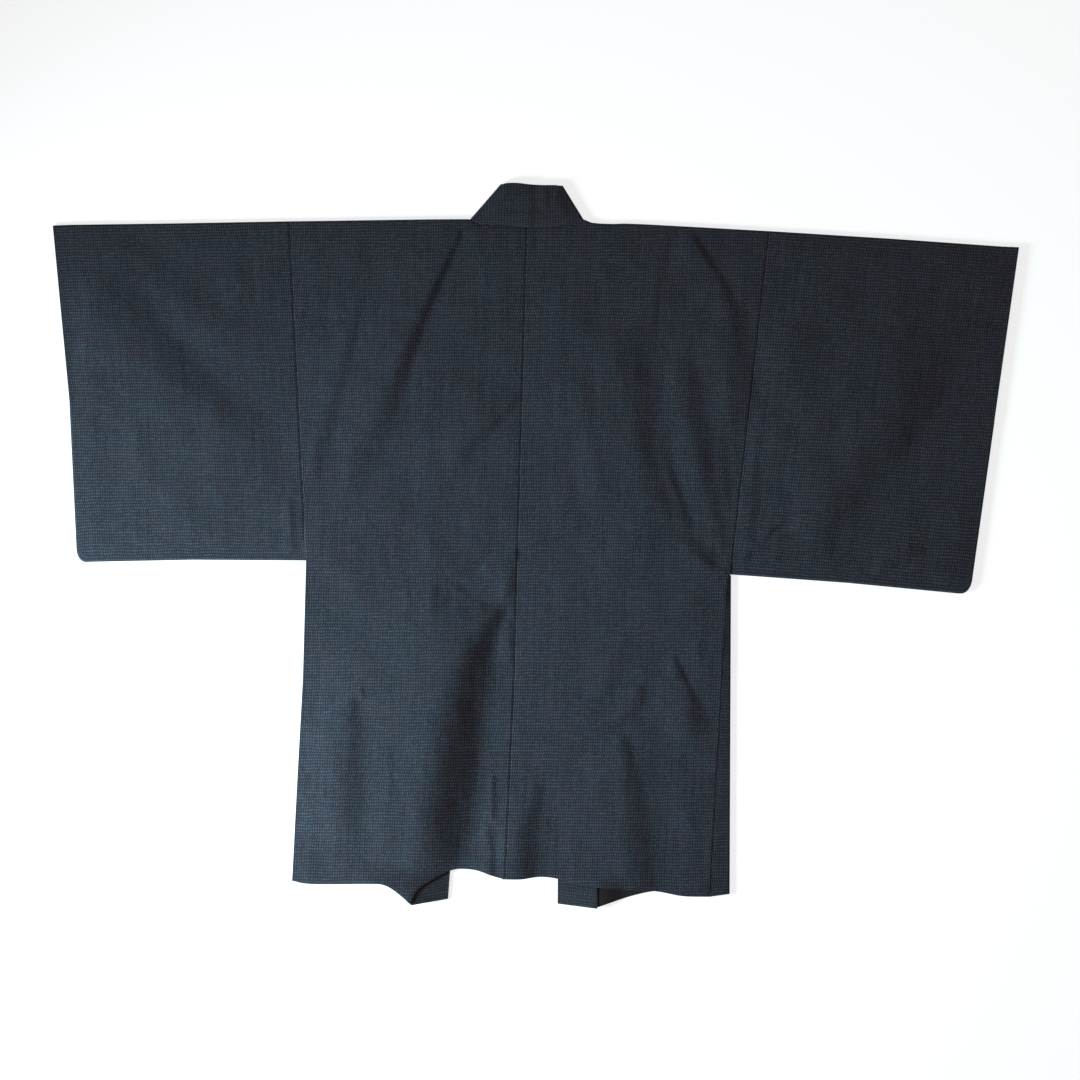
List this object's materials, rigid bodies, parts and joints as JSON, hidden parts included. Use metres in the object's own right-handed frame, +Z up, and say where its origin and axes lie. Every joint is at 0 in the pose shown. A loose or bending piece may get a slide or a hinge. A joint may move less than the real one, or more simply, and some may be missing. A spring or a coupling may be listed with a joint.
{
  "type": "haori jacket",
  "caption": "Open-fronted Japanese haori jacket in dark navy woven cloth, laid flat on its front with its back up, straight square sleeves spread and the collar band standing above the neck.",
  "frame": {"origin": "middle of the outline, on the surface the jacket lies on", "axes": "+X towards the wearer's right sleeve, +Y towards the collar, +Z up from the surface"},
  "size_m": [1.381, 1.037, 0.0123],
  "materials": {
    "cloth": "dark navy silk-and-wool weave with fine grey-blue dashes, matt with a soft sheen",
    "collar_cloth": "the same dark navy weave turned a quarter, doubled and pressed"
  },
  "bodies": {
    "root": {"body_left": "cloth", "body_right": "cloth", "sleeve_left": "cloth", "sleeve_right": "cloth", "gusset_left": "cloth", "gusset_right": "cloth", "collar": "collar_cloth"}
  },
  "joints": []
}
